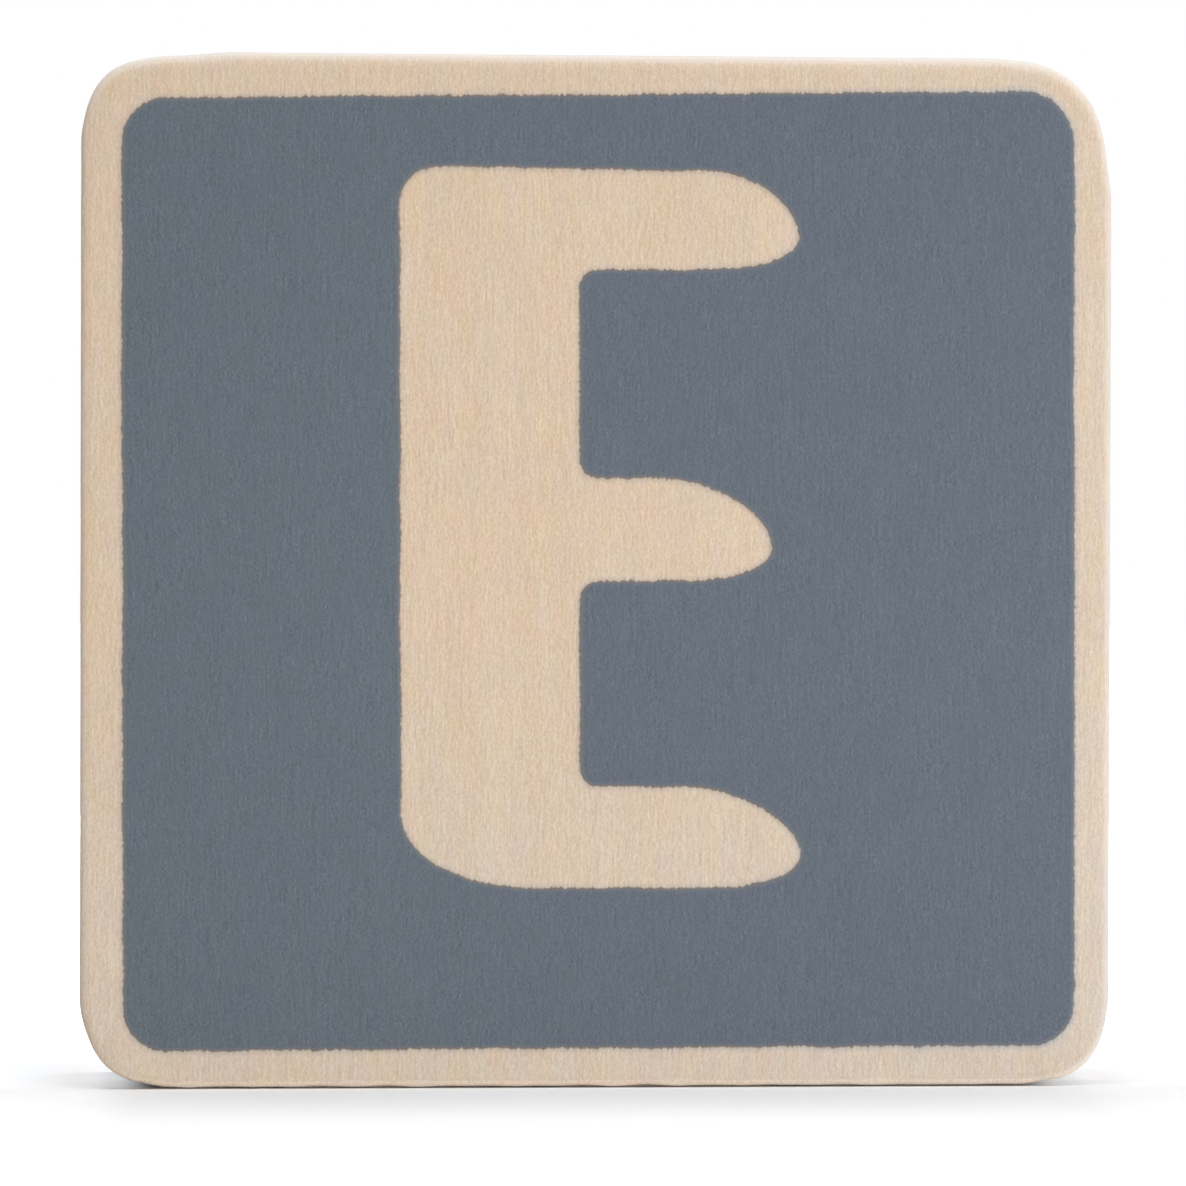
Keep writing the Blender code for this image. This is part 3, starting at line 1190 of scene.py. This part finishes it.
@dataclass
class Floor:
    """The white floor with the tile's shadow, which a faint painted glow beside and under the tile softens.

    Places beside the tile are counted outwards from where its bottom edge begins to round up at the corners,
    and places ahead of it forwards from its front.
    """

    radius: float = 2.0
    segments: int = 128
    colour: Rgb = (212, 212, 212)
    shade_colour: Rgb = (250, 250, 250)
    # Painted shade: the floor just in front of the tile is seen a little cooler.
    near_shade_colour: Rgb = (249, 250, 252)
    near_front: Slope = Slope(9 * MM, 1 * MM)
    glow_colour: Rgb = (243, 249, 255)
    corner_run: float = 6 * MM
    right_half: Slope = Slope(0.0, 10 * MM)
    gap_glow: float = 0.43
    gap: Slope = Slope(0.8 * MM, 3.4 * MM)
    gap_on_right: float = 0.7 * MM
    gap_near: Slope = Slope(0.5 * MM, -2.6 * MM, 0.9)
    gap_far: Slope = Slope(-4 * MM, -8 * MM, 0.1)
    gap_stretch_on_right: float = 0.4
    gap_start_on_right: float = 0.6 * MM
    gap_behind: Slope = Slope(-9 * MM, -16 * MM, 0.65)
    gap_outside: Slope = Slope(3.8 * MM, 6.6 * MM, 0.74)
    ring_glow: float = 0.1
    ring: Slope = Slope(1.5 * MM, 6 * MM)
    ring_on_right: float = 0.05
    ring_behind: Slope = Slope(-2 * MM, -6 * MM, 0.07)
    front_glow: Slope = Slope(5 * MM, 24 * MM, 0.07)
    far_beside: Slope = Slope(10 * MM, 30 * MM, 0.5)
    far_ahead: Slope = Slope(20 * MM, 50 * MM, 0.5)
    far_behind: Slope = Slope(-14 * MM, -40 * MM, 0.5)

    def build(self) -> None:
        """Adds the floor."""
        disc = bmesh.new()
        bmesh.ops.create_circle(disc, cap_ends=True, radius=self.radius, segments=self.segments)
        mesh = bpy.data.meshes.new("floor")
        disc.to_mesh(mesh)
        disc.free()
        mesh.materials.append(self.material())
        floor = bpy.data.objects.new("floor", mesh)
        bpy.context.scene.collection.objects.link(floor)

    def material(self) -> bpy.types.Material:
        """Makes the floor's material.

        Returns:
            The material: darker for light that only bounces off the floor than for what is seen.
        """
        made = bpy.data.materials.new("white_floor")
        tree = ShaderTree(made)
        ahead = CAD_BOX[0].y - tree.place(1)
        seen = tree.seen()
        near = self.near_front.at(ahead)
        shade = tree.mix(near, linear(self.shade_colour), linear(self.near_shade_colour))
        colour = tree.mix(seen, linear(self.colour), shade)
        matt = tree.add("ShaderNodeBsdfDiffuse", {}, {"Color": colour})
        light = tree.scale(linear(self.glow_colour)[:3], self.glow(tree, ahead) * seen)
        glow = tree.add("ShaderNodeEmission", {}, {"Color": light})
        both = tree.add("ShaderNodeAddShader", {}, {0: matt, 1: glow})
        tree.add("ShaderNodeOutputMaterial", {}, {"Surface": both})
        return made

    def glow(self, tree: ShaderTree, ahead: Wire) -> Wire:
        """Says how much the floor glows, as painted light that lightens the tile's shadow.

        Args:
            tree: the tree that it is added to.
            ahead: how far ahead of the tile's front a point lies.

        Returns:
            The painted glow in the gap under a rounded corner, in a ring beside the tile, in front and far
            off.
        """
        x = tree.place(0)
        beside = abs(x) - (CAD_BOX[1].x - self.corner_run)
        right = self.right_half.at(x)
        depth = ahead * (1 + right * self.gap_stretch_on_right) - right * self.gap_start_on_right
        gap = self.gap.at(beside + right * self.gap_on_right)
        gap = gap * (self.gap_near.at(depth) + self.gap_far.at(depth))
        gap = gap * (1 - self.gap_behind.at(ahead)) * (1 - self.gap_outside.at(beside))
        ring = self.ring_glow - right * self.ring_on_right + self.ring_behind.at(ahead)
        far = self.far_beside.at(beside) + self.far_ahead.at(ahead) + self.far_behind.at(ahead)
        return gap * self.gap_glow + ring * self.ring.at(beside) + self.front_glow.at(ahead) + far


@dataclass(frozen=True)
class Lamp:
    """A soft rectangular lamp that is turned to the tile."""

    name: str
    place: Triple
    width: float
    height: float
    power: float

    def hang(self, aim: Vector) -> None:
        """Adds the lamp to the scene.

        Args:
            aim: what it is turned to.
        """
        light = bpy.data.lights.new(self.name, "AREA")
        light.energy = self.power
        light.shape = "RECTANGLE"
        light.size = self.width
        light.size_y = self.height
        lamp = bpy.data.objects.new(self.name, light)
        lamp.location = self.place
        lamp.rotation_euler = (aim - lamp.location).to_track_quat("-Z", "Y").to_euler()
        bpy.context.scene.collection.objects.link(lamp)


@dataclass
class Studio:
    """White surroundings, soft lamps, and the camera at the picture's viewpoint."""

    azimuth: float = math.radians(-3.47)
    elevation: float = math.radians(0.56)
    roll: float = math.radians(0.158)
    distance: float = 350 * MM
    field_width: float = 80.31 * MM
    aim_x: float = -0.391 * MM
    aim_z: float = 33.56 * MM
    nearest_share: float = 0.01
    lamps: tuple[Lamp, ...] = (
        Lamp("overhead", (0.0, -0.12, 1.2), 0.9, 0.9, 10.4),
        Lamp("side", (0.3, -0.3, 0.06), 0.3, 0.1, 0.76),
        Lamp("low_front", (0.01, -0.17, 0.008), 0.24, 0.01, 0.113),
        Lamp("rear", (0.0, 0.35, 0.045), 0.12, 0.05, 0.4),
    )
    dim_side: float = 0.06
    bright_side: float = 0.34
    bright_way: Triple = (0.5, 0.3, 0.8)

    def build(self) -> None:
        """Sets up the surroundings, the lamps and the camera."""
        self.add_surroundings()
        aim = Vector((self.aim_x, 0, self.aim_z))
        for lamp in self.lamps:
            lamp.hang(aim)
        self.add_camera()

    def add_surroundings(self) -> None:
        """Adds white surroundings that light the tile more from the right and from above."""
        world = bpy.data.worlds.new("studio")
        bpy.context.scene.world = world
        tree = ShaderTree(world)
        ray = tree.add("ShaderNodeTexCoord", output="Generated")
        sockets = {0: ray, 1: Vector(self.bright_way).normalized()}
        lean = tree.add("ShaderNodeVectorMath", {"operation": "DOT_PRODUCT"}, sockets, "Value")
        light = self.dim_side + lean.step(-1, 1) * (self.bright_side - self.dim_side)
        seen = tree.seen()
        strength = light * (1 - seen) + seen
        sky = tree.add("ShaderNodeBackground", {}, {"Color": (1, 1, 1, 1), "Strength": strength})
        tree.add("ShaderNodeOutputWorld", {}, {"Surface": sky})

    def add_camera(self) -> None:
        """Adds the camera where the picture was taken from."""
        lens = bpy.data.cameras.new("camera")
        lens.sensor_width = SENSOR_WIDTH
        lens.lens = SENSOR_WIDTH * self.distance / self.field_width
        lens.clip_start = self.distance * self.nearest_share
        camera = bpy.data.objects.new("camera", lens)
        flat = math.cos(self.elevation)
        x = math.sin(self.azimuth) * flat
        y = -math.cos(self.azimuth) * flat
        back = Vector((x, y, math.sin(self.elevation)))
        aim = Vector((self.aim_x, CAD_BOX[0].y, self.aim_z))
        camera.location = aim + back * self.distance
        level = (-back).to_track_quat("-Z", "Y")
        camera.rotation_euler = (level @ Quaternion((0, 0, 1), self.roll)).to_euler()
        bpy.context.scene.collection.objects.link(camera)
        bpy.context.scene.camera = camera
        bpy.context.scene.view_settings.view_transform = "Standard"


def main() -> None:
    """Builds and dresses the tile, then sets up the floor and the studio."""
    logging.basicConfig(level=logging.INFO, format="%(message)s")
    Blank().build()
    PrintedPanel().build()
    Floor().build()
    Studio().build()


if __name__ == "__main__":
    main()
